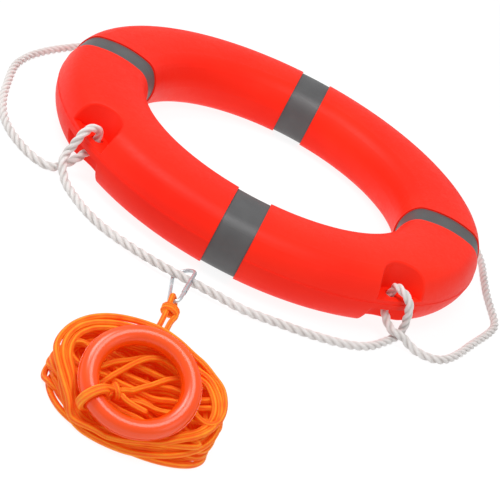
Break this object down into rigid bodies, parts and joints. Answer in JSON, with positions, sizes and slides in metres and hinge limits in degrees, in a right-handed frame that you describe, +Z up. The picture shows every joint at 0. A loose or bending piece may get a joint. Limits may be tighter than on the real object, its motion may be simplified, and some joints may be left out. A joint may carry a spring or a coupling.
{
  "type": "ring lifebuoy",
  "caption": "Hollow moulded ring lifebuoy with recessed reflective bands, a grab rope threaded through rim pockets, and a coiled throw line with a snap hook and a hand ring.",
  "frame": {"origin": "centre of the ring's underside, on the floor that the lifebuoy lies on", "axes": "+Z up along the axis of the ring, -Y towards the throw line, +X to the right seen from the throw line"},
  "size_m": [0.8641, 1.236, 0.1032],
  "materials": {
    "shell": "satin",
    "foam": "matte",
    "plug": "satin",
    "band": "satin",
    "grab_rope": "matte",
    "sleeve": "satin",
    "steel": "polished",
    "throw_line": "matte",
    "hand_ring": "gloss"
  },
  "bodies": {
    "root": {"shell_upper": "shell", "shell_lower": "shell", "foam_core": "foam", "foam_plugs": "plug", "band_front": "band", "band_right": "band", "band_rear": "band", "band_left": "band", "grab_rope": "grab_rope", "rope_sleeve": "sleeve"},
    "throw_line": {"carabiner_body": "steel", "gate_pin": "steel", "throw_line_lead": "throw_line", "throw_line_knot": "throw_line", "throw_line_hank": "throw_line", "hand_ring_tie": "throw_line", "hand_ring_knot": "throw_line"},
    "gate": {"carabiner_gate": "steel", "gate_spring": "steel"},
    "hand_ring": {"hand_ring_upper": "hand_ring", "hand_ring_lower": "hand_ring"}
  },
  "joints": [
    {"name": "clip_swing", "type": "hinge", "parent": "root", "child": "throw_line", "pos_m": [-0.035, -0.414, 0.0125], "axis": [-1, 0, 0], "range_deg": [0, 85]},
    {"name": "gate_opening", "type": "hinge", "parent": "throw_line", "child": "gate", "pos_m": [-0.02381, -0.46334, 0.01853], "axis": [-0.6142, -0.0429, 0.788], "range_deg": [0, 24], "stiffness_Nm_per_rad": 0.08, "springref_deg": -28.65},
    {"name": "hand_ring_lift", "type": "hinge", "parent": "throw_line", "child": "hand_ring", "pos_m": [-0.05505, -0.82677, 0.03871], "axis": [0.766, -0.5567, -0.3214], "range_deg": [0, 75]}
  ]
}
